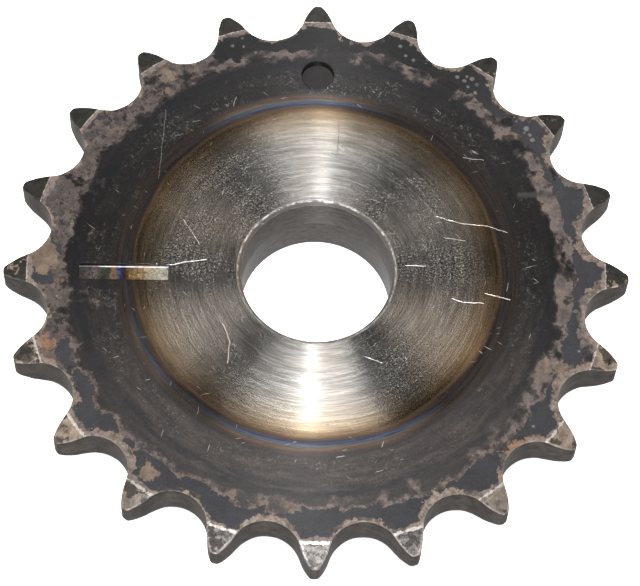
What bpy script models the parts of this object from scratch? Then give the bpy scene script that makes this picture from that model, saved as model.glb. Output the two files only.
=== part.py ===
"""Roller-chain sprocket: a toothed steel plate with a hub welded to its back.

The axis is +Z and the turned front face looks up. The origin is on the axis,
on the hub's rear face, so the part stands on the hub. A tooth is centred on +Y.
"""
import math

import bmesh
import bpy
from mathutils import Vector

# Teeth
TEETH = 20
TIP_RADIUS = 0.0425
SEAT_CENTRE_RADIUS = 0.04139
SEAT_RADIUS = 0.00471
SEAT_HALF_ANGLE = math.radians(65.6)
FLANK_RADIUS = 0.00816
CHAMFER_RADIUS = 0.0392
CHAMFER_DEPTH = 0.00105

# Plate and hub
PLATE_THICKNESS = 0.0059
HUB_HEIGHT = 0.0061
HUB_RADIUS = 0.0250
BORE_RADIUS = 0.01028
FRONT_BORE_CHAMFER = 0.0005
REAR_BORE_CHAMFER = 0.0003
HUB_EDGE_CHAMFER = 0.0006
GAP = 0.0003

# Weld between the hub's outside and the plate's rear face
WELD_LEG = 0.0030
WELD_CROWN = 0.0003

# Blind marking hole on the front face, on the +Y tooth's centre line
HOLE_POSITION = 0.0306
HOLE_RADIUS = 0.00223
HOLE_DEPTH = 0.0012

# Shallow slot on the front face, along -X
SLOT_INNER = 0.0201
SLOT_OUTER = 0.0322
SLOT_WIDTH = 0.0023
SLOT_OFFSET = -0.00045
SLOT_DEPTH = 0.0006

# Facets
ROUND_SEGMENTS = 120
SEAT_SEGMENTS = 8
FLANK_SEGMENTS = 5
WELD_SEGMENTS = 96

PLATE_BOTTOM = HUB_HEIGHT
PLATE_TOP = HUB_HEIGHT + PLATE_THICKNESS


def clear_objects():
    for old in list(bpy.data.objects):
        bpy.data.objects.remove(old, do_unlink=True)


def steel(name, colour, roughness, metallic):
    material = bpy.data.materials.new(name)
    material.use_nodes = True
    shader = material.node_tree.nodes["Principled BSDF"]
    shader.inputs["Base Color"].default_value = (*colour, 1.0)
    shader.inputs["Roughness"].default_value = roughness
    shader.inputs["Metallic"].default_value = metallic
    return material


def object_from(bm, name):
    bmesh.ops.recalc_face_normals(bm, faces=bm.faces)
    mesh = bpy.data.meshes.new(name)
    bm.to_mesh(mesh)
    bm.free()
    made = bpy.data.objects.new(name, mesh)
    bpy.context.collection.objects.link(made)
    return made


def turned(name, profile, segments):
    """A ring: the closed (radius, height) profile turned about the Z axis."""
    bm = bmesh.new()
    rings = []
    for step in range(segments):
        angle = 2.0 * math.pi * step / segments
        across = math.sin(angle)
        along = math.cos(angle)
        ring = [bm.verts.new((r * across, r * along, z)) for r, z in profile]
        rings.append(ring)
    count = len(profile)
    for step in range(segments):
        here = rings[step]
        there = rings[(step + 1) % segments]
        for i in range(count):
            j = (i + 1) % count
            bm.faces.new((here[i], here[j], there[j], there[i]))
    return object_from(bm, name)


def prism(name, outline, low, high):
    """A flat outline extruded along Z."""
    bm = bmesh.new()
    base = bm.faces.new([bm.verts.new((x, y, low)) for x, y in outline])
    raised = bmesh.ops.extrude_face_region(bm, geom=[base])
    moved = [v for v in raised["geom"] if isinstance(v, bmesh.types.BMVert)]
    bmesh.ops.translate(bm, verts=moved, vec=Vector((0.0, 0.0, high - low)))
    return object_from(bm, name)


def half_gap():
    """Points from a tooth gap's lowest point to the next tooth's centre line.

    The gap is centred on +Y: a concave seat arc for the roller, then a convex
    flank arc tangent to it. The two flanks of a tooth meet outside the tips,
    and the turned blank cuts them off there.
    """
    points = []
    for step in range(SEAT_SEGMENTS + 1):
        turn = SEAT_HALF_ANGLE * step / SEAT_SEGMENTS
        x = SEAT_RADIUS * math.sin(turn)
        y = SEAT_CENTRE_RADIUS - SEAT_RADIUS * math.cos(turn)
        points.append((x, y))
    reach = SEAT_RADIUS + FLANK_RADIUS
    centre_x = reach * math.sin(SEAT_HALF_ANGLE)
    centre_y = SEAT_CENTRE_RADIUS - reach * math.cos(SEAT_HALF_ANGLE)
    half_pitch = math.pi / TEETH
    # The flank ends where its circle meets the tooth's centre line
    off_line = centre_x * math.cos(half_pitch) - centre_y * math.sin(half_pitch)
    last_turn = math.asin(off_line / FLANK_RADIUS) - half_pitch
    sweep = last_turn - SEAT_HALF_ANGLE
    for step in range(1, FLANK_SEGMENTS + 1):
        turn = SEAT_HALF_ANGLE + sweep * step / FLANK_SEGMENTS
        x = centre_x - FLANK_RADIUS * math.sin(turn)
        y = centre_y + FLANK_RADIUS * math.cos(turn)
        points.append((x, y))
    return points


def tooth_outline():
    """The whole toothed outline, with the first gap half a pitch from +Y."""
    half = half_gap()
    mirrored = [(-x, y) for x, y in reversed(half[1:])]
    # Neighbouring gaps share the point on the tooth's centre line
    gap = mirrored[1:] + half
    outline = []
    for tooth in range(TEETH):
        turn = 2.0 * math.pi * (tooth + 0.5) / TEETH
        across = math.sin(turn)
        along = math.cos(turn)
        for x, y in gap:
            outline.append((x * along + y * across, y * along - x * across))
    return outline


def disc_outline(centre_x, centre_y, radius, segments):
    points = []
    for step in range(segments):
        turn = 2.0 * math.pi * (step + 0.5) / segments
        x = centre_x + radius * math.sin(turn)
        y = centre_y + radius * math.cos(turn)
        points.append((x, y))
    return points


def cutter(made):
    made.hide_render = True
    made.display_type = "WIRE"
    return made


def boolean(target, tool, operation):
    modifier = target.modifiers.new(tool.name, "BOOLEAN")
    modifier.operation = operation
    modifier.solver = "EXACT"
    modifier.object = tool


def finish(made, material, smooth_degrees):
    made.data.materials.append(material)
    made.data.shade_smooth()
    made.data.set_sharp_from_angle(angle=math.radians(smooth_degrees))


def make_plate():
    """Turned blank, then the teeth cut round it, then the hole and the slot."""
    profile = [
        (BORE_RADIUS, PLATE_BOTTOM),
        (CHAMFER_RADIUS, PLATE_BOTTOM),
        (TIP_RADIUS, PLATE_BOTTOM + CHAMFER_DEPTH),
        (TIP_RADIUS, PLATE_TOP - CHAMFER_DEPTH),
        (CHAMFER_RADIUS, PLATE_TOP),
        (BORE_RADIUS + FRONT_BORE_CHAMFER, PLATE_TOP),
        (BORE_RADIUS, PLATE_TOP - FRONT_BORE_CHAMFER),
    ]
    plate = turned("toothed_plate", profile, ROUND_SEGMENTS)
    finish(plate, steel("turned_steel", (0.32, 0.30, 0.27), 0.38, 1.0), 20.0)

    spare = 0.001
    teeth = cutter(
        prism("cut_teeth", tooth_outline(), PLATE_BOTTOM - spare, PLATE_TOP + spare)
    )
    boolean(plate, teeth, "INTERSECT")

    hole_outline = disc_outline(0.0, HOLE_POSITION, HOLE_RADIUS, 32)
    hole_floor = PLATE_TOP - HOLE_DEPTH
    hole = cutter(prism("cut_hole", hole_outline, hole_floor, PLATE_TOP + spare))
    boolean(plate, hole, "DIFFERENCE")

    side_a = SLOT_OFFSET + SLOT_WIDTH / 2.0
    side_b = SLOT_OFFSET - SLOT_WIDTH / 2.0
    slot_outline = [
        (-SLOT_OUTER, side_b),
        (-SLOT_INNER, side_b),
        (-SLOT_INNER, side_a),
        (-SLOT_OUTER, side_a),
    ]
    slot_floor = PLATE_TOP - SLOT_DEPTH
    slot = cutter(prism("cut_slot", slot_outline, slot_floor, PLATE_TOP + spare))
    boolean(plate, slot, "DIFFERENCE")
    return plate


def make_hub():
    """Short hub ring, bored in line with the plate."""
    top = HUB_HEIGHT - GAP
    profile = [
        (BORE_RADIUS + REAR_BORE_CHAMFER, 0.0),
        (HUB_RADIUS - HUB_EDGE_CHAMFER, 0.0),
        (HUB_RADIUS, HUB_EDGE_CHAMFER),
        (HUB_RADIUS, top),
        (BORE_RADIUS, top),
        (BORE_RADIUS, REAR_BORE_CHAMFER),
    ]
    hub = turned("rear_hub", profile, ROUND_SEGMENTS)
    finish(hub, steel("hub_steel", (0.24, 0.23, 0.22), 0.42, 1.0), 30.0)
    return hub


def make_weld():
    """Fillet weld bead in the corner between the hub and the plate."""
    inner = HUB_RADIUS + GAP
    top = PLATE_BOTTOM - GAP
    middle = WELD_LEG / 2.0
    profile = [
        (inner, top - WELD_LEG),
        (inner + middle + WELD_CROWN, top - middle - WELD_CROWN),
        (inner + WELD_LEG, top),
        (inner, top),
    ]
    weld = turned("weld_fillet", profile, WELD_SEGMENTS)
    finish(weld, steel("weld_metal", (0.16, 0.15, 0.15), 0.55, 0.9), 50.0)
    return weld


clear_objects()
make_plate()
make_hub()
make_weld()
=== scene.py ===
"""Roller-chain sprocket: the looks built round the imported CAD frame."""

import math

import bmesh
import bpy
import numpy as np
from mathutils import Matrix, Vector


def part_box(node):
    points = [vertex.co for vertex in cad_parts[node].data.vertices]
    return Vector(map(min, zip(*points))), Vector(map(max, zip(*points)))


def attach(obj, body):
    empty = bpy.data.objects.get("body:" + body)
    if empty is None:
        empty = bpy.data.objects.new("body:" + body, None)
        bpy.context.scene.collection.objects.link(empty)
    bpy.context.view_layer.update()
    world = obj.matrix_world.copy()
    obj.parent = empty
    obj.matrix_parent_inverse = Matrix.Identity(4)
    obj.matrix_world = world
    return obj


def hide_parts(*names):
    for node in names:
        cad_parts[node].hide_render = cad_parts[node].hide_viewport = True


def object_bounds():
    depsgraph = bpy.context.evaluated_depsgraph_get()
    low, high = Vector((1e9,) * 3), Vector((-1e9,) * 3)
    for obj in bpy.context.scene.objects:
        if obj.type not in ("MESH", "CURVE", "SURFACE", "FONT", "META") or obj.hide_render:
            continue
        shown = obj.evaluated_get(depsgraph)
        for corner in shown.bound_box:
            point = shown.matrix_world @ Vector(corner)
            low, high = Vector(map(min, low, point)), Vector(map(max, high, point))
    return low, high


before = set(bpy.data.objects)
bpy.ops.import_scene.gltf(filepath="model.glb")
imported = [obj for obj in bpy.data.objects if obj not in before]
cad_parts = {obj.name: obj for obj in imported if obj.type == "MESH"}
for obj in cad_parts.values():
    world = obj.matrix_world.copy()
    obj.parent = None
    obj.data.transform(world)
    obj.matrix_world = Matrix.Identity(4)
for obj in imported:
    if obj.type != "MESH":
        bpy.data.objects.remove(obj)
cad_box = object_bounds()

MM = 0.001
TAU = 2.0 * math.pi

# Sizes of the part, in millimetres, as in the CAD model
TEETH = 20
TIP_R = 42.5
SEAT_CENTRE_R = 41.39
SEAT_R = 4.71
SEAT_HALF = math.radians(65.6)
FLANK_R = 8.16
CREASE_R = 39.2
TIP_DROP = 1.05
BORE_R = 10.28
MOUTH_R = 10.78
HUB_R = 25.0
WELD_LEG = 3.0

# The blind hole and the slot in the front face; the slot lies between two x and two y
MARK_Y = 30.6
MARK_R = 2.23
MARK_DEPTH = 1.2
SLOT_X = (-32.2, -20.1)
SLOT_Y = (-1.6, 0.7)
SLOT_CORNER = 0.12
SLOT_DEPTH = 0.6

plate_low, plate_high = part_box("toothed_plate")
Z_FRONT = plate_high[2] / MM
Z_BACK = plate_low[2] / MM
Z_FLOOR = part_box("rear_hub")[0][2] / MM

# The hub and the weld end this far under the plate, and the weld this far off the hub
UNDER_PLATE = 0.005
OFF_HUB = 0.02


# ---------------------------------------------------------------- geometry

# Angles of the rings that round an edge
QUARTER_TURN = [math.pi / 2.0 * i / 4 for i in range(5)]


def smooth_noise(count, waves, seed):
    """A periodic random curve of `count` samples in about -1..1."""
    rng = np.random.default_rng(seed)
    turn = np.arange(count) / count * TAU
    total = np.zeros(count)
    weight = 0.0
    for k in waves:
        size = 1.0 / math.sqrt(k)
        total += size * np.sin(k * turn + rng.uniform(0.0, TAU))
        weight += size * size * 0.5
    return total / math.sqrt(weight) / 1.6


def half_gap(seat_steps, flank_steps, land_steps):
    """The outline from a gap's lowest point to the next tooth's centre line."""
    points = []
    for i in range(seat_steps):
        t = SEAT_HALF * i / seat_steps
        points.append((SEAT_R * math.sin(t), SEAT_CENTRE_R - SEAT_R * math.cos(t)))
    reach = SEAT_R + FLANK_R
    cx = reach * math.sin(SEAT_HALF)
    cy = SEAT_CENTRE_R - reach * math.cos(SEAT_HALF)
    # The flank runs until the turned tip circle cuts it
    low, high = 0.0, SEAT_HALF
    for _ in range(40):
        t = 0.5 * (low + high)
        inside = math.hypot(cx - FLANK_R * math.sin(t), cy + FLANK_R * math.cos(t)) < TIP_R
        low, high = (low, t) if inside else (t, high)
    last = 0.5 * (low + high)
    for i in range(flank_steps + 1):
        t = SEAT_HALF + (last - SEAT_HALF) * i / flank_steps
        points.append((cx - FLANK_R * math.sin(t), cy + FLANK_R * math.cos(t)))
    corner = math.atan2(*points[-1])
    for i in range(1, land_steps + 1):
        a = corner + (math.pi / TEETH - corner) * i / land_steps
        points.append((TIP_R * math.sin(a), TIP_R * math.cos(a)))
    return points


def outline_points():
    """The whole toothed outline, clockwise from +Y."""
    half = half_gap(seat_steps=18, flank_steps=14, land_steps=3)
    x, y = np.array([(-x, y) for x, y in reversed(half[1:])][1:] + half).T
    gaps = []
    for tooth in range(TEETH):
        turn = TAU * (tooth + 0.5) / TEETH
        s, c = math.sin(turn), math.cos(turn)
        gaps.append(np.stack([x * c + y * s, y * c - x * s], 1))
    return np.concatenate(gaps)


def rounded_corners(points, passes):
    """Takes the sharpness off the tip corners, and leaves smooth curves almost alone."""
    for _ in range(passes):
        points = 0.25 * np.roll(points, 1, 0) + 0.5 * points + 0.25 * np.roll(points, -1, 0)
    return points


def inward(points):
    """Unit normals of a closed outline, towards its inside."""
    along = np.roll(points, -1, 0) - np.roll(points, 1, 0)
    normal = np.stack([along[:, 1], -along[:, 0]], 1)
    normal /= np.linalg.norm(normal, axis=1)[:, None]
    facing = np.sign((normal * points).sum(1).mean())
    return -facing * normal


def crease_drop(radius):
    """How far the bevelled tooth face lies under the flat one, with a soft crease."""
    slope = TIP_DROP / (TIP_R - CREASE_R)
    past = radius - CREASE_R
    soft = 0.12
    return slope * 0.5 * (past + np.sqrt(past * past + soft * soft))


def ring_mesh(name, rings, closed=True):
    """Quads between rings of equal length, each an (n, 3) array in millimetres."""
    n = len(rings[0])
    verts = np.concatenate(rings) * MM
    faces = []
    count = len(rings)
    for i in range(count if closed else count - 1):
        a, b = i * n, ((i + 1) % count) * n
        for j in range(n):
            k = (j + 1) % n
            faces.append((a + j, a + k, b + k, b + j))
    mesh = bpy.data.meshes.new(name)
    mesh.from_pydata(verts.tolist(), [], faces)
    mesh.update()
    bm = bmesh.new()
    bm.from_mesh(mesh)
    bmesh.ops.recalc_face_normals(bm, faces=bm.faces)
    bm.to_mesh(mesh)
    bm.free()
    mesh.shade_smooth()
    mesh.set_sharp_from_angle(angle=math.radians(38.0))
    made = bpy.data.objects.new(name, mesh)
    bpy.context.collection.objects.link(made)
    return made


def polar_ring(radius, angle, height):
    z = np.broadcast_to(height, angle.shape)
    return np.stack([radius * np.sin(angle), radius * np.cos(angle), z], 1)


def apply_cut(target, cutter):
    """Subtracts the cutter from the target's mesh for good."""
    modifier = target.modifiers.new("cut", "BOOLEAN")
    modifier.operation = "DIFFERENCE"
    modifier.solver = "EXACT"
    modifier.object = cutter
    bpy.context.view_layer.update()
    graph = bpy.context.evaluated_depsgraph_get()
    mesh = bpy.data.meshes.new_from_object(target.evaluated_get(graph))
    old = target.data
    target.modifiers.clear()
    target.data = mesh
    bpy.data.meshes.remove(old)
    bpy.data.objects.remove(cutter, do_unlink=True)


def flared_cutter(name, outline, floor, lip):
    """A prism cutter whose top flares out, so that the cut has a rounded rim."""
    outline = np.array(outline)
    out = -inward(outline)
    middle = outline * 0.0 + outline.mean(0)
    above = 0.3

    def ring(at, z):
        return np.column_stack([at, np.full(len(at), z)])

    rings = [ring(middle, floor), ring(outline, floor)]
    for t in QUARTER_TURN:
        push = lip * (1.0 - math.cos(t))
        rings.append(ring(outline + out * push, Z_FRONT - lip + lip * math.sin(t)))
    rings.append(ring(outline + out * (lip + above), Z_FRONT + above))
    rings.append(ring(middle, Z_FRONT + above))
    made = ring_mesh(name, rings, closed=False)
    bm = bmesh.new()
    bm.from_mesh(made.data)
    bmesh.ops.remove_doubles(bm, verts=bm.verts, dist=1e-7)
    bmesh.ops.recalc_face_normals(bm, faces=bm.faces)
    bm.to_mesh(made.data)
    bm.free()
    return made


def circle(centre_y, radius, steps=64):
    turns = [TAU * i / steps for i in range(steps)]
    return [(radius * math.sin(a), centre_y + radius * math.cos(a)) for a in turns]


def rounded_box(x_range, y_range, corner, steps=4):
    """A rectangle's outline with round corners, clockwise."""
    left, right = x_range[0] + corner, x_range[1] - corner
    bottom, top = y_range[0] + corner, y_range[1] - corner
    corners = ((right, top, 0.0), (right, bottom, 90.0), (left, bottom, 180.0), (left, top, 270.0))
    points = []
    for cx, cy, start in corners:
        for i in range(steps + 1):
            a = math.radians(start + 90.0 * i / steps)
            points.append((cx + corner * math.sin(a), cy + corner * math.cos(a)))
    return points


def worn_rounding(count):
    """The radius of the toothed edge's rounding at each outline point, with nicks."""
    rounding = 0.17 + 0.05 * smooth_noise(count, range(31, 260, 7), 4)
    rounding = np.clip(rounding, 0.08, 0.32)
    nick_rng = np.random.default_rng(11)
    for _ in range(46):
        at = nick_rng.integers(count)
        width = nick_rng.uniform(1.2, 3.0)
        size = nick_rng.uniform(0.05, 0.16)
        away = np.abs((np.arange(count) - at + count // 2) % count - count // 2)
        rounding += size * np.exp(-(away / width) ** 2)
    return rounding


def face_height(radius, front):
    drop = crease_drop(radius)
    return Z_FRONT - drop if front else Z_BACK + drop


def face_rings(front, angle, edge_r):
    """Rings of one face, from the bore's mouth out to the start of the edge's rounding."""
    crease = edge_r - np.maximum(0.15, edge_r - CREASE_R)
    beside_crease = 0.07
    round_part_r = 34.0
    start = MOUTH_R + 0.06 if front else BORE_R + 0.2
    radii = [np.full(len(angle), r) for r in (start, *np.linspace(start + 0.12, round_part_r, 24))]
    radii += [round_part_r + (crease - round_part_r) * t for t in np.linspace(0.0, 1.0, 15)[1:-1]]
    radii += [crease - beside_crease, crease, crease + beside_crease]
    outer_start = crease + beside_crease
    radii += [outer_start + (edge_r - outer_start) * t for t in np.linspace(0.0, 1.0, 11)[1:-1]]
    return [polar_ring(r, angle, face_height(r, front)) for r in radii]


def bore_wall_rings(angle):
    """Rings up the bore's wall and over the chamfer at its mouth."""
    n = len(angle)
    mouth = 0.05 * smooth_noise(n, range(3, 60, 4), 8)
    heights = (Z_BACK + 0.02, *np.linspace(Z_BACK + 0.6, Z_FRONT - 1.0, 7), Z_FRONT - 0.56 + mouth * 0.5)
    rings = [polar_ring(np.full(n, BORE_R), angle, z) for z in heights]
    rings.append(polar_ring(np.full(n, BORE_R + 0.03), angle, Z_FRONT - 0.48 + mouth * 0.5))
    rings.append(polar_ring(np.full(n, MOUTH_R - 0.04) + mouth, angle, Z_FRONT - 0.035))
    return rings


def build_plate():
    edge = rounded_corners(outline_points(), 2)
    normal = inward(edge)
    rounding = worn_rounding(len(edge))

    def shoulder(theta, front):
        """One ring of the rounding between a face and the toothed wall."""
        at = edge + normal * (rounding * (1.0 - math.sin(theta)))[:, None]
        sunk = rounding * (1.0 - math.cos(theta))
        height = face_height(np.hypot(at[:, 0], at[:, 1]), front)
        return np.column_stack([at, height - sunk if front else height + sunk])

    inner = edge + normal * rounding[:, None]
    edge_r = np.hypot(inner[:, 0], inner[:, 1])
    angle = np.arctan2(inner[:, 0], inner[:, 1])
    upper = [shoulder(t, True) for t in QUARTER_TURN]
    lower = [shoulder(t, False) for t in reversed(QUARTER_TURN)]
    wall_top, wall_bottom = upper[-1][:, 2], lower[0][:, 2]
    wall = []
    for t in np.linspace(0.0, 1.0, 8)[1:-1]:
        wall.append(np.column_stack([edge, wall_top + (wall_bottom - wall_top) * t]))
    rings = bore_wall_rings(angle) + face_rings(True, angle, edge_r) + upper + wall
    rings += lower + face_rings(False, angle, edge_r)[::-1]
    made = ring_mesh("sprocket_plate", rings)

    mark = circle(MARK_Y, MARK_R)
    apply_cut(made, flared_cutter("cut_mark", mark, Z_FRONT - MARK_DEPTH, 0.10))
    slot = rounded_box(SLOT_X, SLOT_Y, SLOT_CORNER)
    apply_cut(made, flared_cutter("cut_slot", slot, Z_FRONT - SLOT_DEPTH, 0.08))
    mark_edges(made, edge)
    return made


def mark_edges(piece, edge):
    """Stores each vertex's distance to the toothed outline, in millimetres, up to 9."""
    mesh = piece.data
    n = len(mesh.vertices)
    places = np.empty(n * 3)
    mesh.vertices.foreach_get("co", places)
    points = places.reshape(-1, 3)[:, :2] / MM
    along = np.roll(edge, -1, 0) - edge
    length2 = (along * along).sum(1)
    far, toothed_r, chunk = 9.0, 33.0, 4000
    best = np.full(n, far)
    for start in range(0, n, chunk):
        here = points[start:start + chunk]
        if np.hypot(here[:, 0], here[:, 1]).max() < toothed_r:
            continue
        away = here[:, None, :] - edge[None]
        t = np.clip((away * along[None]).sum(2) / length2[None], 0.0, 1.0)
        away -= t[:, :, None] * along[None]
        best[start:start + chunk] = np.sqrt((away * away).sum(2).min(1))
    layer = mesh.attributes.new("edge_mm", "FLOAT", "POINT")
    layer.data.foreach_set("value", np.minimum(best, far))


def turned(name, profile, segments):
    """A piece turned from a closed (radius, height) profile."""
    angle = np.arange(segments) / segments * TAU
    return ring_mesh(name, [polar_ring(np.full(segments, r), angle, z) for r, z in profile])


def rounded_profile(points, radii, steps=5):
    """A closed (radius, height) profile with its corners rounded."""
    made = []
    count = len(points)
    for i, (point, radius) in enumerate(zip(points, radii)):
        here = Vector(point)
        back = (Vector(points[i - 1]) - here).normalized()
        on = (Vector(points[(i + 1) % count]) - here).normalized()
        if radius <= 0.0:
            made.append(tuple(here))
            continue
        half = back.angle(on) / 2.0
        reach = radius / math.tan(half)
        centre = here + (back + on).normalized() * radius / math.sin(half)
        first = here + back * reach - centre
        last = here + on * reach - centre
        for k in range(steps + 1):
            way = first.lerp(last, k / steps).normalized() * radius
            made.append(tuple(centre + way))
    return made


def build_hub():
    top = Z_BACK - UNDER_PLATE
    corners = [
        (BORE_R, top),
        (BORE_R, Z_FLOOR + 0.3),
        (BORE_R + 0.3, Z_FLOOR),
        (HUB_R - 0.6, Z_FLOOR),
        (HUB_R, Z_FLOOR + 0.6),
        (HUB_R, top),
    ]
    profile = rounded_profile(corners, (0.0, 0.06, 0.06, 0.15, 0.15, 0.0))
    return turned("sprocket_hub", profile, 360)


def build_weld():
    """A fillet bead laid in overlapping ripples round the hub."""
    segments = 1080
    angle = np.arange(segments) / segments * TAU
    ripples = 118
    phase = angle * ripples / TAU + 0.12 * smooth_noise(segments, range(2, 40, 3), 21)
    saw = phase - np.floor(phase)
    ripple = 1.0 - (1.0 - saw) ** 2.2
    leg = WELD_LEG - 0.15 + 0.12 * smooth_noise(segments, range(2, 30), 22)
    top = Z_BACK - UNDER_PLATE
    start_r = HUB_R + OFF_HUB
    rings = [polar_ring(np.full(segments, start_r), angle, top)]
    steps = 14
    for i in range(steps + 1):
        t = i / steps
        swell = math.sin(math.pi * t) * (0.16 + 0.16 * ripple) * 0.7
        rings.append(polar_ring(start_r + leg * t + swell, angle, top - leg * (1.0 - t) - swell))
    return ring_mesh("hub_weld", rings)


plate = build_plate()
hub = build_hub()
weld = build_weld()


# --------------------------------------------------------------- materials

class Graph:
    """A node tree built by calls. A socket or a plain value goes in anywhere."""

    def __init__(self, name):
        self.material = bpy.data.materials.new(name)
        self.material.use_nodes = True
        self.tree = self.material.node_tree
        self.shader = self.tree.nodes["Principled BSDF"]
        place = self.node("TexCoord").outputs["Object"]
        self.p = self.vector("SCALE", place, scale=1.0 / MM)

    def put(self, socket, value):
        if isinstance(value, bpy.types.NodeSocket):
            self.tree.links.new(value, socket)
        elif value is not None:
            socket.default_value = value

    def surface(self, values):
        """Sets the shader's inputs by name."""
        for key, value in values.items():
            self.put(self.shader.inputs[key], value)
        return self.material

    def node(self, kind, inputs=(), **settings):
        made = self.tree.nodes.new("ShaderNode" + kind)
        for key, value in settings.items():
            setattr(made, key, value)
        for key, value in dict(inputs).items():
            self.put(made.inputs[key], value)
        return made

    def math(self, operation, a, b=None, c=None, clamp=False):
        inputs = {0: a, 1: b, 2: c}
        return self.node("Math", inputs, operation=operation, use_clamp=clamp).outputs[0]

    def times(self, first, *others):
        product = first
        for other in others:
            product = self.math("MULTIPLY", product, other)
        return product

    def times_plus(self, value, factor, start):
        return self.math("MULTIPLY_ADD", value, factor, start)

    def without(self, mask):
        return self.math("SUBTRACT", 1.0, mask)

    def stirred(self, value, noise, size):
        """The value moved up and down by a noise, over a span of `size`."""
        return self.times_plus(self.math("SUBTRACT", noise, 0.5), size, value)

    def most(self, masks):
        """The highest of several masks."""
        highest = masks[0]
        for mask in masks[1:]:
            highest = self.math("MAXIMUM", highest, mask)
        return highest

    def vector(self, operation, a, b=None, scale=None):
        made = self.node("VectorMath", {0: a, 1: b}, operation=operation)
        if scale is not None:
            self.put(made.inputs["Scale"], scale)
        return made.outputs["Value" if operation in ("LENGTH", "DOT_PRODUCT") else 0]

    def distance(self, a, b):
        return self.vector("LENGTH", self.vector("SUBTRACT", a, b))

    def joined(self, x, y, z):
        return self.node("CombineXYZ", {0: x, 1: y, 2: z}).outputs[0]

    def step(self, value, low, high, to_low=0.0, to_high=1.0):
        """Runs smoothly from to_low at `low` to to_high at `high`."""
        inputs = {0: value, 1: low, 2: high, 3: to_low, 4: to_high}
        return self.node("MapRange", inputs, interpolation_type="SMOOTHSTEP").outputs[0]

    def window(self, value, a, b, c, d):
        """0 outside a..d, 1 inside b..c."""
        return self.times(self.step(value, a, b), self.step(value, c, d, 1.0, 0.0))

    def noise(self, scale, detail=3.0, rough=0.5, distortion=0.0, at=None, output="Fac"):
        """Noise with `scale` features per millimetre, unless it is `at` another place."""
        inputs = {"Vector": self.p if at is None else at, "Scale": scale, "Detail": detail}
        inputs.update({"Roughness": rough, "Distortion": distortion})
        return self.node("TexNoise", inputs).outputs[output]

    def mix(self, factor, a, b, blend="MIX"):
        made = self.node("Mix", data_type="RGBA", blend_type=blend)
        self.put(made.inputs[0], factor)
        for socket, value in ((made.inputs[6], a), (made.inputs[7], b)):
            self.put(socket, (*value, 1.0) if isinstance(value, tuple) else value)
        return made.outputs[2]

    def blend(self, factor, a, b):
        """The same for plain numbers."""
        return self.node("Mix", {0: factor, 2: a, 3: b}, data_type="FLOAT").outputs[0]

    def shaded(self, colour, factor):
        return self.vector("SCALE", colour, scale=factor)

    def ramp(self, factor, stops):
        made = self.node("ValToRGB", {0: factor})
        band = made.color_ramp
        while len(band.elements) < len(stops):
            band.elements.new(0.5)
        for element, (place, colour) in zip(band.elements, stops):
            element.position = place
            element.color = (*colour, 1.0)
        return made.outputs[0]

    def bump(self, height, millimetres, normal=None, strength=1.0):
        inputs = {"Height": height, "Distance": millimetres * MM, "Strength": strength, "Normal": normal}
        return self.node("Bump", inputs).outputs[0]


class RoundGraph(Graph):
    """A graph with places on a turned piece: x, y, z and radius r in millimetres, and angle."""

    def __init__(self, name):
        super().__init__(name)
        self.x, self.y, self.z = self.node("SeparateXYZ", {0: self.p}).outputs
        self.flat = self.joined(self.x, self.y, 0.0)
        self.r = self.vector("LENGTH", self.flat)
        turn = self.math("ARCTAN2", self.x, self.y)
        self.sin_a, self.cos_a = self.math("SINE", turn), self.math("COSINE", turn)
        self.round_share = self.times_plus(turn, 1.0 / TAU, 0.5)

    def drawn_out(self, arcs, along, per_mm, detail, rough=0.5):
        """Noise drawn out along the turning: `arcs` round it, `per_mm` features along r or z."""
        around = (self.times(self.sin_a, arcs), self.times(self.cos_a, arcs))
        return self.noise(1.0, detail, rough, at=self.joined(*around, self.times(along, per_mm)))

    def by_angle(self, stops):
        """A table's value at this angle; a stop is degrees from +Y, then a number or three."""
        made = []
        for degrees, value in stops:
            value = value if isinstance(value, tuple) else (value, value, value)
            made.append((0.5 + degrees / 360.0, value))
        return self.ramp(self.round_share, made)

    def turned_surface(self, anisotropy, values):
        """A surface whose reflections are stretched across its turning grooves."""
        tangent = self.node("Tangent", direction_type="RADIAL", axis="Z").outputs[0]
        grooved = {"Anisotropic": anisotropy, "Anisotropic Rotation": 0.25, "Tangent": tangent}
        return self.surface({**values, **grooved})


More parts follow.
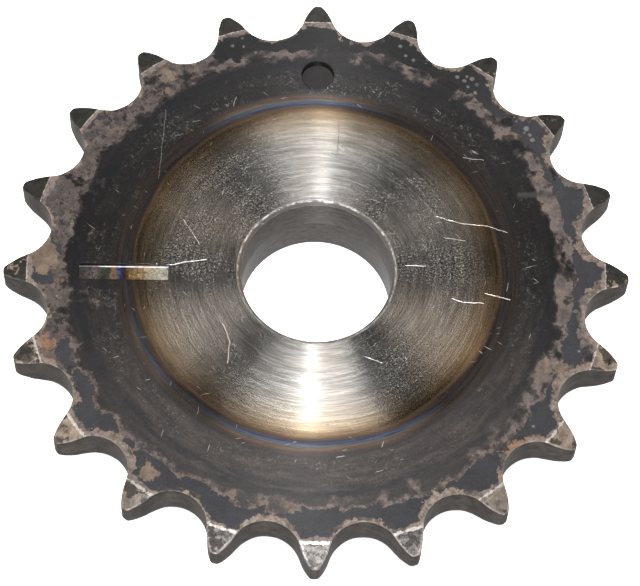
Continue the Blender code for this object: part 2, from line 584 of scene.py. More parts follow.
class PlateGraph(RoundGraph):
    """The plate's graph, with the masks and noises that several of its layers share."""

    def __init__(self, name):
        super().__init__(name)
        self.edge = self.node("Attribute", attribute_name="edge_mm").outputs["Fac"]
        normal = self.node("SeparateXYZ", {0: self.node("TexCoord").outputs["Normal"]})
        self.facing = self.math("ABSOLUTE", normal.outputs[2])
        self.wall = self.step(self.facing, 0.15, 0.45, 1.0, 0.0)
        self.below = self.step(self.cos_a, -0.9, 0.3, 1.0, 0.0)
        self.left = self.step(self.sin_a, -0.75, 0.05, 1.0, 0.0)
        self.groove = self.drawn_out(3.4, self.r, 4.6, 4.0, 0.72)
        self.broad = self.noise(0.12, 3.0, 0.6)
        self.grit = self.noise(3.6, 3.0, 0.8, 0.3)
        self.flake_a = self.noise(0.27, 5.0, 0.58, 0.6)
        self.flake_b = self.drawn_out(9.0, self.r, 0.42, 5.0, 0.60)
        self.flake_c = self.noise(1.2, 5.0, 0.70)
        self.mottle = self.step(self.noise(0.7, 6.0, 0.70), 0.34, 0.66)
        self.pitted = self.times(
            self.by_angle(PITTING),
            self.step(self.noise(0.22, 4.0, 0.6, 0.4), 0.38, 0.58, 0.30, 1.0),
            self.step(self.r, 19.5, 23.0, 1.0, 0.35),
            self.without(self.wall),
        )
        self.share = self.heat_share()
        self.scaled = self.step(self.share, 0.615, 0.665)

    def heat_share(self):
        """Distance from the heat's centre as a share of the tip radius. Its line wavers."""
        from_centre = self.distance(self.flat, (0.0, 0.35, 0.0))
        waver = self.times_plus(self.drawn_out(2.5, self.r, 0.05, 3.0), 1.4, -0.7)
        waver = self.stirred(waver, self.groove, 0.7)
        return self.math("DIVIDE", self.math("ADD", from_centre, waver), TIP_R)


class Layers:
    """Colour, metallic and roughness, each laid over what is there already."""

    def __init__(self, g, colour, metal, rough):
        self.g = g
        self.colour = colour
        self.metal = metal
        self.rough = rough

    def lay(self, mask, colour=None, metal=None, rough=None):
        if colour is not None:
            self.colour = self.g.mix(mask, self.colour, colour)
        if metal is not None:
            self.metal = self.g.blend(mask, self.metal, metal)
        if rough is not None:
            self.rough = self.g.blend(mask, self.rough, rough)


def polar(degrees_from_y, share_of_radius):
    """A point on the face, in millimetres, clockwise from +Y."""
    a = math.radians(degrees_from_y)
    r = share_of_radius * TIP_R
    return (r * math.sin(a), r * math.cos(a), 0.0)


def line_distance(g, flat, ends):
    """Distance in millimetres from the face point `flat` to a broken line."""
    nearest = None
    for a, b in zip(ends, ends[1:]):
        a, b = Vector(polar(*a)), Vector(polar(*b))
        span = b - a
        away = g.vector("SUBTRACT", flat, tuple(a))
        reach = g.vector("DOT_PRODUCT", away, tuple(span))
        share = g.math("MULTIPLY", reach, 1.0 / span.length_squared, clamp=True)
        gap = g.distance(away, g.vector("SCALE", tuple(span), scale=share))
        nearest = gap if nearest is None else g.math("MINIMUM", nearest, gap)
    return nearest


# Heat colours by share of the tip radius, from bare steel out to black scale
HEAT = (
    (0.000, (0.555, 0.545, 0.530)),
    (0.440, (0.550, 0.535, 0.510)),
    (0.500, (0.535, 0.490, 0.425)),
    (0.540, (0.470, 0.390, 0.290)),
    (0.563, (0.360, 0.272, 0.180)),
    (0.580, (0.205, 0.143, 0.092)),
    (0.592, (0.105, 0.072, 0.055)),
    (0.601, (0.050, 0.052, 0.075)),
    (0.609, (0.066, 0.090, 0.140)),
    (0.616, (0.095, 0.100, 0.105)),
    (0.625, (0.130, 0.088, 0.062)),
    (0.634, (0.085, 0.062, 0.052)),
    (0.648, (0.036, 0.031, 0.030)),
    (1.000, (0.032, 0.030, 0.031)),
)

# Colours along the slot's floor, from its outer end to its inner one
SLOT = (
    (0.00, (0.060, 0.054, 0.056)),
    (0.18, (0.120, 0.100, 0.100)),
    (0.26, (0.055, 0.060, 0.045)),
    (0.34, (0.060, 0.058, 0.045)),
    (0.37, (0.210, 0.140, 0.095)),
    (0.42, (0.190, 0.120, 0.085)),
    (0.45, (0.060, 0.080, 0.170)),
    (0.49, (0.030, 0.032, 0.080)),
    (0.52, (0.035, 0.025, 0.020)),
    (0.57, (0.170, 0.105, 0.050)),
    (0.70, (0.300, 0.220, 0.130)),
    (0.80, (0.430, 0.385, 0.300)),
    (1.00, (0.500, 0.480, 0.420)),
)

# Wear of the scale round the rim: degrees clockwise from +Y, and there how much of it
# has flaked, how whole the dark skin on the teeth is, and how wide the rims of the gaps are
WEAR = (
    (-180, (0.34, 0.95, 0.45)),
    (-150, (0.42, 0.90, 0.45)),
    (-122, (0.66, 0.75, 0.65)),
    (-92, (0.92, 0.10, 0.60)),
    (-58, (0.86, 0.05, 0.40)),
    (-34, (0.74, 0.12, 0.30)),
    (-14, (0.52, 0.55, 0.25)),
    (2, (0.36, 1.00, 0.30)),
    (14, (0.58, 0.90, 0.32)),
    (28, (0.52, 1.00, 0.32)),
    (48, (0.62, 0.90, 0.50)),
    (80, (0.74, 0.75, 0.75)),
    (110, (0.66, 0.80, 0.90)),
    (140, (0.40, 0.90, 0.80)),
    (180, (0.34, 0.95, 0.45)),
)

# How far the blue and orange of the heat ring have faded to brown
FADING = (
    (-180, 0.0), (-158, 0.1), (-147, 0.8), (-134, 0.9), (-127, 0.65), (-113, 0.65), (-104, 0.9),
    (-62, 0.95), (-36, 0.9), (-24, 0.3), (-10, 0.0), (5, 0.0), (14, 0.6), (24, 0.95),
    (138, 0.95), (150, 0.4), (160, 0.0), (180, 0.0),
)

# How pitted the bright face is, by degrees clockwise from +Y
PITTING = (
    (-180, 0.30), (-150, 0.45), (-136, 0.80), (-118, 0.50), (-100, 0.65), (-88, 1.00),
    (-72, 0.75), (-52, 0.85), (-35, 1.00), (-20, 0.60), (-8, 0.30), (10, 0.30), (22, 0.55),
    (38, 1.00), (52, 0.60), (66, 0.65), (83, 1.00), (97, 0.70), (112, 0.45), (130, 0.60),
    (143, 0.75), (158, 0.35), (180, 0.30),
)

# Tan patches: degrees from +Y, share of the radius, millimetres across, how orange
PATCHES = (
    (-87.5, 0.876, 4.6, 0.3), (-107.0, 0.887, 2.2, 1.0), (-143.5, 0.866, 2.2, 0.3),
    (134.5, 0.868, 2.6, 0.9), (-35.0, 0.868, 2.2, 0.1), (113.0, 0.830, 2.0, 0.2),
)

# Scratches: (end points as degrees from +Y and share of the radius), half-width, brightness
SCRATCHES = (
    (((271.8, 0.467), (273.6, 0.415), (275.6, 0.356)), 0.061, 1.0),
    (((98.6, 0.620), (97.7, 0.542)), 0.054, 1.0),
    (((101.3, 0.542), (102.6, 0.476), (102.0, 0.440)), 0.040, 0.7),
    (((62.6, 0.434), (69.3, 0.500), (72.9, 0.572), (76.5, 0.630)), 0.036, 0.6),
    (((85.0, 0.284), (86.4, 0.350)), 0.040, 0.7),
    (((72.9, 0.428), (76.5, 0.488)), 0.032, 0.4),
    (((283.5, 0.386), (292.5, 0.464)), 0.032, 0.4),
    (((302.4, 0.608), (319.5, 0.764)), 0.029, 0.16),
    (((220.5, 0.428), (227.7, 0.368), (237.6, 0.350)), 0.036, 0.4),
    (((146.7, 0.380), (153.0, 0.332)), 0.032, 0.5),
    (((48.6, 0.632), (53.0, 0.680)), 0.036, 0.4),
)

# Dark marks in the same form: a tool mark across the bright face, a smear across the rim
STAINS = (
    (((7.2, 0.560), (8.2, 0.480), (9.0, 0.416)), 0.050, 0.75),
    (((66.6, 0.716), (68.4, 0.780), (69.8, 0.836)), 0.420, 0.70),
)

# Pale round spots on the black teeth: degrees from +Y, share of the radius, millimetres across
SPOTS = (
    (18.1, 0.878, 0.51), (20.0, 0.849, 0.41), (22.0, 0.843, 0.48), (20.1, 0.896, 0.44),
    (32.5, 0.855, 0.54), (34.4, 0.855, 0.51), (35.9, 0.845, 0.41), (38.1, 0.841, 0.54),
    (34.2, 0.875, 0.37), (35.5, 0.877, 0.61), (37.2, 0.867, 0.51),
    (52.2, 0.864, 0.75), (53.9, 0.858, 0.48), (55.2, 0.855, 0.61), (52.8, 0.849, 0.37),
    (-18.9, 0.873, 0.45), (-16.6, 0.861, 0.30), (-16.3, 0.893, 0.30), (-14.4, 0.831, 0.35),
    (105.6, 0.873, 0.54), (108.0, 0.870, 0.34), (127.9, 0.857, 0.37),
)


def bright_steel(g):
    """The turned face: grooves, heat colours, dull blotches and a skin of fine pits."""
    fine = g.drawn_out(5.0, g.r, 7.0, 3.0, 0.6)
    streak = g.drawn_out(2.2, g.r, 2.0, 4.0, 0.70)
    tint = g.ramp(g.share, HEAT)
    faded = g.times(g.by_angle(FADING), g.window(g.share, 0.576, 0.594, 0.645, 0.665))
    tint = g.mix(faded, tint, (0.022, 0.018, 0.016))
    steel = g.mix(g.step(g.groove, 0.32, 0.68), (0.70, 0.69, 0.68), (1.16, 1.15, 1.14))
    steel = g.mix(1.0, tint, steel, "MULTIPLY")
    steel = g.shaded(steel, g.step(streak, 0.36, 0.60, 0.82, 1.06))
    steel = g.shaded(steel, g.step(g.cos_a, -0.95, -0.55, 0.87, 1.0))
    # Blotches stay off the ring of heat colours
    clean = g.step(g.share, 0.535, 0.580, 1.0, 0.0)
    steel = g.mix(g.times(clean, g.step(fine, 0.56, 0.70, 0.0, 0.50)), steel, (0.15, 0.14, 0.13))
    steel = g.mix(g.times(clean, g.step(g.broad, 0.45, 0.70, 0.0, 0.35)), steel, (0.30, 0.25, 0.20))
    pocked = g.times(g.step(g.noise(4.2, 2.0, 0.6), 0.56, 0.66), g.pitted, 0.7)
    steel = g.mix(pocked, steel, (0.085, 0.078, 0.070))
    return g.shaded(steel, g.blend(g.pitted, 1.0, g.step(g.grit, 0.34, 0.66, 0.62, 1.12)))


def black_scale(g):
    """Black scale, browner below, with a scuffed band next to the heat ring. Its dust is made lighter
    below by a painted sheen.
    """
    dust = g.step(g.drawn_out(4.0, g.r, 1.1, 4.0, 0.62), 0.30, 0.72, 0.0, 0.28)
    # Real dust, raised towards the bottom as a painted sheen
    dust_and_painted_sheen = g.times_plus(g.below, 0.35, dust)
    tone = g.mix(dust_and_painted_sheen, (0.030, 0.029, 0.031), (0.088, 0.080, 0.077))
    dark_band = g.times(g.window(g.r, 30.6, 31.6, 32.4, 34.0), 0.5)
    tone = g.mix(dark_band, tone, (0.034, 0.035, 0.040))
    scuff = g.times(
        g.step(g.noise(1.9, 6.0, 0.80, 1.2), 0.55, 0.62),
        g.step(g.noise(0.17, 3.0, 0.6), 0.42, 0.60, 0.10, 1.0),
        g.window(g.r, 26.8, 28.0, 30.4, 32.2),
        g.times_plus(g.below, -0.55, 1.0),
    )
    tone = g.mix(scuff, tone, (0.27, 0.255, 0.22))
    smear = g.times(
        g.step(g.drawn_out(5.0, g.r, 0.9, 7.0, 0.72), 0.44, 0.68),
        g.window(g.r, 26.8, 28.2, 32.0, 34.0),
        g.times_plus(g.below, 0.35, 0.05),
    )
    return g.mix(smear, tone, (0.150, 0.122, 0.110))


def flaked_coat(g, flaking):
    """Flat grey-brown places where the scale has flaked: how much, and their colour."""
    flakes = g.times_plus(g.flake_b, 0.40, g.times(g.flake_a, 0.60))
    flakes = g.stirred(flakes, g.flake_c, g.times_plus(g.left, 0.22, 0.05))
    start = g.step(g.times_plus(g.left, -1.4, g.r), 31.2, 33.6, 0.20, 0.0)
    level = g.stirred(g.math("SUBTRACT", flakes, start), flaking, 0.22)
    coat = g.math("MAXIMUM", g.step(level, 0.500, 0.512), g.step(level, 0.44, 0.505, 0.0, 0.42))

    tone = g.mix(g.mottle, (0.118, 0.100, 0.095), (0.205, 0.170, 0.160))
    warm = g.step(g.noise(0.25, 5.0, 0.60), 0.56, 0.60, 0.0, 0.7)
    tone = g.mix(warm, tone, g.mix(g.mottle, (0.20, 0.155, 0.122), (0.29, 0.230, 0.185)))
    # More broken up at the left
    pits = g.step(g.times_plus(g.left, 0.035, g.noise(1.1, 5.0, 0.72)), 0.585, 0.615)
    tone = g.mix(g.times(pits, g.times_plus(g.left, 0.55, 0.25)), tone, (0.060, 0.054, 0.050))
    flecks = g.step(g.noise(1.7, 3.0, 0.7, 0.4), 0.63, 0.67)
    tone = g.mix(g.times(flecks, g.times_plus(g.left, 0.4, 0.15)), tone, (0.42, 0.38, 0.35))
    return coat, g.shaded(tone, g.times_plus(g.left, -0.22, 1.0))


def whole_skin(g, whole, rims):
    """Smooth dark skin left on the teeth: its mask, its colour, its paler inner line."""
    ragged_edge = g.stirred(g.edge, g.noise(0.42, 5.0, 0.58), -4.0)
    from_gap = g.math("SUBTRACT", ragged_edge, g.times_plus(rims, 1.1, 0.05))
    chosen = g.times_plus(whole, 0.34, g.noise(0.15, 6.0, 0.6))
    island = g.times(g.step(from_gap, -0.04, 0.06), g.step(chosen, 0.640, 0.650))
    inner_line = g.times_plus(g.flake_a, 6.0, g.r)
    line = g.times(
        g.window(inner_line, 37.1, 37.4, 38.0, 38.1),
        island,
        g.step(g.flake_c, 0.42, 0.60, 0.05, 0.60),
    )
    outer_line = g.times_plus(g.flake_b, 1.4, g.r)
    island = g.times(
        island, g.step(inner_line, 38.0, 38.1), g.step(outer_line, 39.45, 39.60, 1.0, 0.0)
    )
    off_top = g.step(g.cos_a, 0.55, 0.95, 1.0, 0.0)
    tone = g.mix(off_top, (0.030, 0.030, 0.032), (0.064, 0.066, 0.074))
    tone = g.mix(g.step(g.flake_b, 0.42, 0.62, 0.0, 0.35), tone, (0.048, 0.045, 0.045))
    return island, tone, line


def gap_rims(g, rims):
    """The worn, rusty rims of the tooth gaps: where, and their colour."""
    ragged_edge = g.stirred(g.edge, g.noise(0.60, 5.0, 0.62), -4.0)
    width = g.times(rims, g.step(g.noise(0.12, 2.0), 0.36, 0.62, 0.30, 1.75))
    rim = g.step(g.times_plus(width, -1.0, ragged_edge), -0.12, 0.0, 1.0, 0.0)
    rust = g.step(g.noise(0.60, 5.0, 0.65), 0.50, 0.56)
    clouds = g.step(g.noise(1.4, 5.0, 0.72), 0.34, 0.66)
    tone = g.mix(clouds, (0.125, 0.106, 0.094), (0.35, 0.295, 0.250))
    return rim, g.mix(g.times(rust, 0.35), tone, (0.38, 0.255, 0.205))


def tan_patches(g, colour):
    """Lays the patches of the table over a colour, with blurred outlines."""
    push = 5.6
    swirl = g.shaded(g.noise(0.6, 6.0, 0.7, output="Color"), push)
    blurred = g.vector("ADD", g.flat, g.vector("SUBTRACT", swirl, (push / 2.0,) * 3))
    blurred = g.vector("MULTIPLY", blurred, (1.0, 1.0, 0.0))
    for degrees, share_of_r, across, orange in PATCHES:
        away = g.distance(blurred, polar(degrees, share_of_r))
        there = g.step(away, across * 0.5 - 0.10, across * 0.5 + 0.10, 0.85, 0.0)
        low = (0.18 + 0.06 * orange, 0.150 - 0.01 * orange, 0.122 - 0.03 * orange)
        high = (0.30 + 0.05 * orange, 0.245 - 0.03 * orange, 0.195 - 0.05 * orange)
        colour = g.mix(there, colour, g.mix(g.mottle, low, high))
    return colour


def scaled_rim(g):
    """The scaled rim's colour, with a painted sheen on its bare scale, and the masks of its flaked coat
    and its whole skin.
    """
    flaking, whole, rims = g.node("SeparateColor", {0: g.by_angle(WEAR)}).outputs
    flaked, flake_tone = flaked_coat(g, flaking)
    island, skin_tone, line = whole_skin(g, whole, rims)
    rim, rim_tone = gap_rims(g, rims)
    coat = g.times(flaked, g.without(island))
    colour = g.mix(coat, black_scale(g), flake_tone)
    colour = g.mix(g.times(line, g.below), colour, (0.25, 0.195, 0.175))
    colour = g.mix(island, colour, skin_tone)
    colour = tan_patches(g, g.mix(g.times(rim, 0.9), colour, rim_tone))

    # The band just inside the crease is scuffed pinkish grey
    band = g.window(g.stirred(g.r, g.flake_a, 3.0), 38.45, 38.65, 39.3, 39.5)
    band = g.times(band, g.step(g.flake_c, 0.42, 0.52, 0.25, 0.85))
    colour = g.mix(band, colour, (0.29, 0.235, 0.215))

    # Painted sheen: bare scale is darker at the sides and lighter below
    bare = g.times(g.without(coat), g.without(island))
    painted_sheen_factor = g.times_plus(g.times(g.sin_a, g.sin_a, bare), -0.26, 0.56)
    painted_sheen_factor = g.times_plus(g.times(g.below, bare), 0.20, painted_sheen_factor)
    return g.shaded(colour, painted_sheen_factor), coat, island


def lay_tips(g, layers):
    """Bevelled tooth tips: black at the top, rubbed to grey metal at the bottom."""
    tip = g.step(g.r, CREASE_R - 0.05, CREASE_R + 0.10)
    rubbing = g.math("ADD", g.noise(0.55, 6.0, 0.68), g.step(g.cos_a, -0.8, 0.45, 0.30, 0.0))
    rubbed = g.step(rubbing, 0.62, 0.66)
    clouds = g.step(g.noise(0.9, 6.0, 0.72), 0.38, 0.62)
    metal_tone = g.mix(clouds, (0.055, 0.052, 0.052), (0.21, 0.195, 0.184))
    tan_tone = g.mix(g.mottle, (0.125, 0.100, 0.080), (0.270, 0.222, 0.178))
    metal_tone = g.mix(g.step(g.cos_a, -0.90, -0.74), metal_tone, tan_tone)
    blotch = g.step(g.noise(0.42, 4.0, 0.6), 0.53, 0.56, 0.0, 0.85)
    metal_tone = g.mix(blotch, metal_tone, (0.038, 0.036, 0.036))
    black_tone = g.mix(g.mottle, (0.018, 0.018, 0.016), (0.034, 0.032, 0.028))
    metallic = g.blend(rubbed, 0.15, g.step(g.cos_a, -0.95, -0.80, 0.12, 0.30))
    layers.lay(tip, g.mix(rubbed, black_tone, metal_tone), metallic, 0.42)
    return tip


def worn_edges(g, tip):
    """Where the crease and the toothed edge are rubbed bright."""
    wear = g.noise(1.6, 5.0, 0.70)
    from_crease = g.math("ABSOLUTE", g.math("SUBTRACT", g.r, CREASE_R))
    from_crease = g.times_plus(g.times(g.below, g.step(g.flake_c, 0.36, 0.62)), -0.24, from_crease)
    crease = g.step(g.times_plus(wear, -0.60, from_crease), -0.31, -0.21, 1.0, 0.0)
    crease = g.times(crease, g.times_plus(g.below, 0.35, 0.60))
    widening = g.times(g.below, tip, g.step(g.flake_c, 0.40, 0.60, 0.0, 0.24))
    from_edge = g.math("SUBTRACT", g.edge, widening)
    rub = g.step(g.times_plus(wear, -0.75, from_edge), -0.40, -0.22, 1.0, 0.0)
    rub = g.times(rub, g.blend(tip, 0.14, g.step(g.cos_a, -0.92, -0.80, 0.38, 0.10)))
    return g.math("MAXIMUM", crease, rub)


def boring_rings(g):
    """Fine rings left by boring, in the plate and the hub alike."""
    return g.drawn_out(9.0, g.z, 3.2, 5.0, 0.75)


def lay_walls(g, layers, worn):
    """The toothed wall, then the worn edges over it, then the bore's wall."""
    toothed = g.times(g.wall, g.step(g.r, 33.0, 34.0))
    clouds = g.step(g.noise(0.6, 5.0, 0.65), 0.32, 0.68)
    tone = g.mix(clouds, (0.014, 0.012, 0.0105), (0.036, 0.030, 0.026))
    layers.lay(toothed, tone, 0.5, 0.45)
    layers.lay(g.times(worn, g.step(g.facing, 0.10, 0.50)), (0.52, 0.475, 0.44))
    layers.lay(worn, metal=0.6)
    bore = g.times(g.wall, g.step(g.r, MOUTH_R + 0.22, MOUTH_R + 0.52, 1.0, 0.0))
    tone = g.mix(g.step(boring_rings(g), 0.30, 0.70), (0.048, 0.044, 0.042), (0.120, 0.110, 0.103))
    layers.lay(bore, tone, 0.35, 0.48)


def lay_mouth(g, layers):
    """The chamfer at the bore's mouth, browned on one side, with broken bright lips that are a painted
    highlight, strongest at the top.
    """
    wander = g.times_plus(g.noise(1.1, 4.0, 0.65), 0.16, g.math("SUBTRACT", g.r, 0.08))
    chamfer = g.window(wander, BORE_R, BORE_R + 0.04, MOUTH_R + 0.06, MOUTH_R + 0.16)
    chamfer = g.times(chamfer, g.step(g.z, Z_FRONT - 0.60, Z_FRONT - 0.50))
    # Painted highlight along the mouth's lips, brightest at the top
    painted_rim_highlight = g.times(
        g.window(wander, MOUTH_R - 0.18, MOUTH_R - 0.08, MOUTH_R + 0.02, MOUTH_R + 0.10),
        g.step(g.cos_a, -0.2, 0.9, 0.45, 1.0),
        g.step(g.noise(1.1, 4.0, 0.75), 0.42, 0.60, 0.05, 1.0),
    )
    side = g.times_plus(g.sin_a, 0.7, g.math("ABSOLUTE", g.cos_a))
    browned = g.step(side, -0.3, 0.3, 1.0, 0.0)
    tone = g.mix(browned, (0.110, 0.105, 0.100), (0.130, 0.106, 0.090))
    layers.lay(chamfer, g.mix(painted_rim_highlight, tone, (0.66, 0.64, 0.60)), 0.20, 0.50)


def below_face(g):
    """Where the surface lies inside the blind hole or the slot."""
    return g.window(g.z, Z_FRONT - 1.7, Z_FRONT - 1.5, Z_FRONT - 0.16, Z_FRONT - 0.05)


def lay_hole(g, layers):
    from_hole = g.distance(g.flat, (0.0, MARK_Y, 0.0))
    inside = g.times(below_face(g), g.step(from_hole, MARK_R + 0.22, MARK_R + 0.32, 1.0, 0.0))
    # Painted shade: the inside of the blind hole is coloured near black
    tone = g.mix(g.noise(0.9, 3.0, 0.5), (0.012, 0.011, 0.012), (0.022, 0.020, 0.019))
    layers.lay(inside, tone, 0.0, 0.6)


def lay_slot(g, layers):
    """The slot: heat colours along its floor, painted shade along its lower side, and on its upper side
    a bright line that is a painted reflection under a dark lip that is a painted shadow.
    """
    low_x, high_x = SLOT_X
    low_y, high_y = SLOT_Y
    middle, half = (low_y + high_y) / 2.0, (high_y - low_y) / 2.0
    off_middle = g.math("ABSOLUTE", g.math("SUBTRACT", g.y, middle))
    inside = g.times(
        below_face(g),
        g.step(off_middle, half + 0.10, half + 0.20, 1.0, 0.0),
        g.window(g.x, low_x - 0.3, low_x - 0.2, high_x + 0.1, high_x + 0.2),
    )
    along = g.math("DIVIDE", g.math("SUBTRACT", g.x, low_x), high_x - low_x)
    moved = g.times_plus(g.noise(1.2, 4.0, 0.7), 0.10, g.math("SUBTRACT", along, 0.05))
    tone = g.ramp(moved, SLOT)
    sparks = g.step(g.noise(2.4, 4.0, 0.75), 0.56, 0.62)
    sparks = g.times(sparks, g.window(along, 0.5, 0.56, 0.70, 0.80), 0.8)
    tone = g.mix(sparks, tone, (0.70, 0.42, 0.16))
    # Painted shade along the slot's lower side
    tone = g.mix(g.step(g.y, low_y + 0.10, low_y + 0.40, 0.8, 0.0), tone, (0.030, 0.025, 0.020))
    tone = g.shaded(tone, g.step(g.noise(2.2, 4.0, 0.8, 0.4), 0.32, 0.66, 0.38, 1.25))

    # Painted reflection: a broken bright line with coloured glints near the slot's upper side
    broken = g.step(g.times_plus(g.noise(1.0, 4.0, 0.7), 0.5, along), 0.35, 0.62, 0.25, 1.0)
    line = g.window(g.y, high_y - 0.23, high_y - 0.19, high_y - 0.08, high_y - 0.04)
    painted_reflection = g.times(line, broken)
    painted_glint_colours = g.mix(g.step(g.noise(0.9, 2.0), 0.42, 0.58), (0.45, 0.42, 0.85), (0.90, 0.72, 0.42))
    coloured = g.step(g.noise(1.5, 3.0, 0.7, 0.3), 0.44, 0.56, 0.0, 0.7)
    tone = g.mix(painted_reflection, tone, g.mix(coloured, (0.92, 0.91, 0.90), painted_glint_colours))
    layers.lay(inside, tone, g.blend(painted_reflection, 0.60, 0.20), 0.50)

    # Painted shadow: a dark line along the slot's upper lip, above the painted reflection
    lip = g.times(
        g.window(g.y, high_y - 0.07, high_y - 0.03, high_y + 0.10, high_y + 0.16),
        g.window(g.x, low_x - 0.1, low_x + 0.1, high_x - 0.1, high_x),
        g.step(g.z, Z_FRONT - 0.5, Z_FRONT - 0.4),
        0.9,
    )
    layers.lay(lip, (0.018, 0.016, 0.018))


def wandering_place(g):
    """The place on the face, moved a little so that marks aren't ruler-straight."""
    push = 0.35
    moved = g.vector("ADD", g.flat, g.shaded(g.noise(0.8, 2.0, output="Color"), push))
    moved = g.vector("SUBTRACT", moved, (push / 2.0,) * 3)
    return g.vector("MULTIPLY", moved, (1.0, 1.0, 0.0))


def marked(g, place, lines):
    """How strongly the broken lines of a table show."""
    ragged = g.times_plus(g.noise(2.4, 3.0, 0.6), 0.10, -0.05)
    marks = []
    for ends, half_width, strength in lines:
        gap = g.math("ADD", line_distance(g, place, ends), ragged)
        marks.append(g.step(gap, half_width * 0.4, half_width * 1.5, strength, 0.0))
    return g.most(marks)


def hairlines(g, place):
    """Short tapered scratches in three directions, on the face only."""
    hairs = []
    for tilt, layer in ((12.0, 3.0), (74.0, 11.0), (-38.0, 23.0)):
        c, s = math.cos(math.radians(tilt)), math.sin(math.radians(tilt))
        along = g.times(g.vector("DOT_PRODUCT", place, (c, s, 0.0)), 0.30)
        across = g.times(g.vector("DOT_PRODUCT", place, (-s, c, 0.0)), 3.4)
        drawn_out = g.noise(1.0, 2.0, 0.5, at=g.joined(along, across, layer))
        hairs.append(g.step(drawn_out, 0.72, 0.76))
    return g.times(g.most(hairs), g.step(g.r, 29.0, 33.0, 0.55, 0.0), g.without(g.wall))


def pale_spots(g, place):
    spots = []
    for degrees, share_of_r, across in SPOTS:
        away = g.distance(place, polar(degrees, share_of_r))
        spots.append(g.step(away, across * 0.5 - 0.06, across * 0.5 + 0.10, 1.0, 0.0))
    return g.most(spots)


def lay_marks(g, layers):
    """Hairlines, stains, scratches, a little dirt on the rim, then the pale spots."""
    place = wandering_place(g)
    layers.lay(hairlines(g, place), (0.50, 0.49, 0.46), 0.4)
    layers.lay(marked(g, place, STAINS), (0.045, 0.042, 0.042))
    scratches = marked(g, place, SCRATCHES)
    layers.lay(scratches, (0.74, 0.73, 0.72), rough=0.55)
    dirt = g.times(
        g.step(g.grit, 0.32, 0.68, 0.87, 1.13), g.step(g.flake_c, 0.3, 0.7, 0.94, 1.06)
    )
    layers.colour = g.shaded(layers.colour, g.blend(g.scaled, 1.0, dirt))
    spot = pale_spots(g, place)
    layers.lay(g.times(spot, g.step(g.flake_c, 0.35, 0.60, 0.30, 0.80)), (0.150, 0.148, 0.140))
    layers.lay(spot, metal=0.1)
    return scratches


def plate_relief(g, coat, scratches):
    relief = g.bump(g.groove, 0.006)
    relief = g.bump(g.noise(2.0, 4.0, 0.7), 0.006, relief, g.pitted)
    glint = g.times(g.step(g.noise(3.4, 3.0, 0.75), 0.54, 0.64), g.pitted)
    relief = g.bump(g.grit, 0.032, relief, glint)
    relief = g.bump(g.times(g.without(coat), g.scaled), 0.035, relief)
    return g.bump(g.without(scratches), 0.020, relief)


def plate_material():
    g = PlateGraph("turned_and_scaled_steel")
    rim, coat, island = scaled_rim(g)
    dust = g.step(g.noise(4.0, 4.0, 0.80, 0.4), 0.46, 0.68)
    steel_metal = g.times(
        g.step(g.share, 0.572, 0.602, 1.0, 0.25), g.times_plus(g.times(dust, g.pitted), -0.50, 1.0)
    )
    layers = Layers(g, bright_steel(g), steel_metal, g.step(g.broad, 0.3, 0.7, 0.17, 0.205))
    rim_metal = g.blend(coat, g.blend(island, 0.07, 0.06), 0.03)
    layers.lay(g.scaled, rim, rim_metal, g.blend(coat, 0.56, 0.64))
    tip = lay_tips(g, layers)
    lay_walls(g, layers, worn_edges(g, tip))
    lay_mouth(g, layers)
    lay_hole(g, layers)
    lay_slot(g, layers)
    scratches = lay_marks(g, layers)
    return g.turned_surface(0.98, {
        "Base Color": layers.colour,
        "Metallic": layers.metal,
        "Roughness": layers.rough,
        "Specular IOR Level": 0.10,
        "Normal": plate_relief(g, coat, scratches),
    })


def hub_material():
    g = RoundGraph("turned_hub_steel")
    rings = boring_rings(g)
    face = g.drawn_out(2.0, g.r, 3.0, 4.0, 0.65)
    in_bore = g.step(g.r, BORE_R + 0.22, BORE_R + 0.52, 1.0, 0.0)
    bore_tone = g.mix(g.step(rings, 0.30, 0.70), (0.022, 0.020, 0.019), (0.072, 0.066, 0.062))
    skin = g.mix(g.step(face, 0.30, 0.72), (0.24, 0.225, 0.21), (0.43, 0.41, 0.38))
    near_weld = g.step(g.times_plus(g.noise(0.5, 3.0), 1.5, g.z), 2.6, 4.8)
    near_weld = g.times(near_weld, g.step(g.r, HUB_R - 1.0, HUB_R - 0.4))
    skin = g.mix(near_weld, skin, (0.10, 0.085, 0.08))
    stain = g.step(g.noise(0.25, 5.0, 0.6), 0.52, 0.68, 0.0, 0.5)
    skin = g.mix(stain, skin, (0.20, 0.15, 0.11))
    relief = g.bump(g.blend(in_bore, face, rings), 0.012)
    return g.turned_surface(0.8, {
        "Base Color": g.mix(in_bore, skin, bore_tone),
        "Metallic": 1.0,
        "Roughness": g.blend(in_bore, g.step(face, 0.3, 0.7, 0.34, 0.46), 0.48),
        "Normal": g.bump(g.noise(2.5, 3.0, 0.6), 0.010, relief),
    })


def weld_material():
    g = Graph("weld_bead")
    cloud = g.noise(0.3, 4.0, 0.6)
    grain = g.noise(1.8, 4.0, 0.6)
    tone = g.mix(g.step(cloud, 0.35, 0.65), (0.085, 0.080, 0.082), (0.22, 0.20, 0.18))
    return g.surface({
        "Base Color": g.mix(g.step(grain, 0.55, 0.72, 0.0, 0.6), tone, (0.20, 0.13, 0.085)),
        "Metallic": 0.85,
        "Roughness": g.step(grain, 0.3, 0.7, 0.35, 0.6),
        "Normal": g.bump(grain, 0.02),
    })


def floor_material():
    g = Graph("pale_floor")
    paper = g.noise(0.02, 3.0, 0.5)
    return g.surface({
        "Base Color": g.mix(paper, (0.90, 0.90, 0.90), (0.94, 0.94, 0.94)),
        "Roughness": 0.9,
        "Emission Color": (1.0, 1.0, 1.0, 1.0),
        "Emission Strength": 1.0,
    })


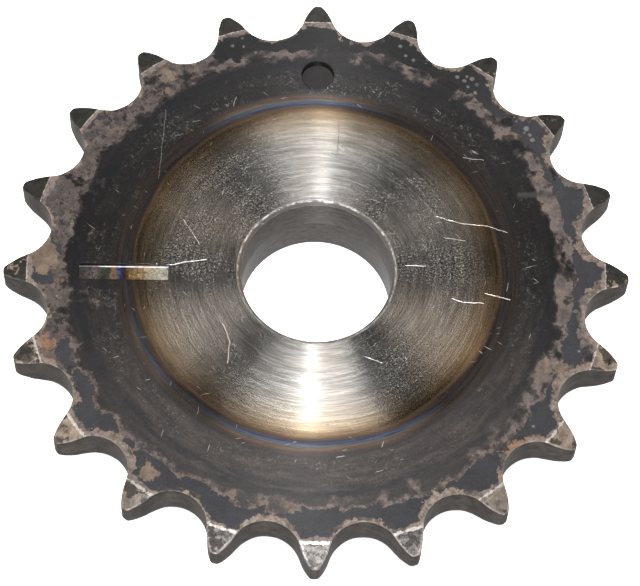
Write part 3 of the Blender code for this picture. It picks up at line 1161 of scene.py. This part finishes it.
for piece, material, node, slot_name in (
    (plate, plate_material(), "toothed_plate", "turned_steel"),
    (hub, hub_material(), "rear_hub", "hub_steel"),
    (weld, weld_material(), "weld_fillet", "weld_metal"),
):
    piece.data.materials.clear()
    piece.data.materials.append(material)
    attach(piece, "root")
    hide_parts(node)


# -------------------------------------------------------- floor, light, camera

# The camera looks along +Y turned this far towards +X
LOOK_TURN = math.radians(2.013)
LOOK_DOWN = math.radians(63.84)
DISTANCE = 0.3890
ROLL = math.radians(-2.577)
FOCAL_LENGTH = 161.56
SHIFT_X = 0.0052
SHIFT_Y = -0.0342

# The floor keeps clear of the hub's rear face, which would flicker on it
FLOOR_GAP = 0.02 * MM
target = Vector((0.0, 0.0, plate_high[2]))


def toward(azimuth, elevation):
    """Unit vector; azimuth in degrees from straight away from the camera, clockwise."""
    a = math.radians(azimuth) + LOOK_TURN
    e = math.radians(elevation)
    return Vector((math.cos(e) * math.sin(a), math.cos(e) * math.cos(a), math.sin(e)))


def area_light(name, azimuth, elevation, distance, width, height, watts, colour=(1.0, 1.0, 1.0)):
    """A soft box that faces the sprocket; degrees, metres and watts."""
    data = bpy.data.lights.new(name, "AREA")
    data.shape = "RECTANGLE"
    data.size = width
    data.size_y = height
    data.energy = watts
    data.color = colour
    lamp = bpy.data.objects.new(name, data)
    place = target + toward(azimuth, elevation) * distance
    aim = (target - place).to_track_quat("-Z", "Y").to_matrix().to_4x4()
    lamp.matrix_world = Matrix.Translation(place) @ aim
    bpy.context.collection.objects.link(lamp)


bpy.ops.mesh.primitive_plane_add(size=6.0, location=(0.0, 0.0, cad_box[0][2] - FLOOR_GAP))
floor = bpy.context.object
floor.name = "floor"
floor.data.materials.append(floor_material())

area_light("soft_left", -74, 58, 0.8, 0.30, 0.30, 2.1, (1.0, 0.92, 0.83))
area_light("soft_right", 60, 60, 0.8, 0.28, 0.28, 0.90, (1.0, 0.86, 0.73))
area_light("soft_top", 58, 88.1, 0.9, 0.385, 0.28, 3.1)
area_light("flash", 182.2, 70, 0.75, 0.018, 0.040, 7.2)

world = bpy.data.worlds.new("studio")
bpy.context.scene.world = world
world.use_nodes = True
background = world.node_tree.nodes["Background"]
background.inputs["Color"].default_value = (1.0, 1.0, 1.0, 1.0)
background.inputs["Strength"].default_value = 0.06

camera_data = bpy.data.cameras.new("camera")
camera = bpy.data.objects.new("camera", camera_data)
bpy.context.collection.objects.link(camera)
back = toward(180.0, math.degrees(LOOK_DOWN))
side = Vector((math.cos(LOOK_TURN), -math.sin(LOOK_TURN), 0.0))
up = back.cross(side)
right = side * math.cos(ROLL) - up * math.sin(ROLL)
top = side * math.sin(ROLL) + up * math.cos(ROLL)
basis = Matrix((right, top, back)).transposed().to_4x4()
camera.matrix_world = Matrix.Translation(target + back * DISTANCE) @ basis
camera_data.sensor_width = 36.0
camera_data.lens = FOCAL_LENGTH
camera_data.shift_x = SHIFT_X
camera_data.shift_y = SHIFT_Y
camera_data.clip_start = 0.01
bpy.context.scene.camera = camera
bpy.context.scene.view_settings.view_transform = "Standard"
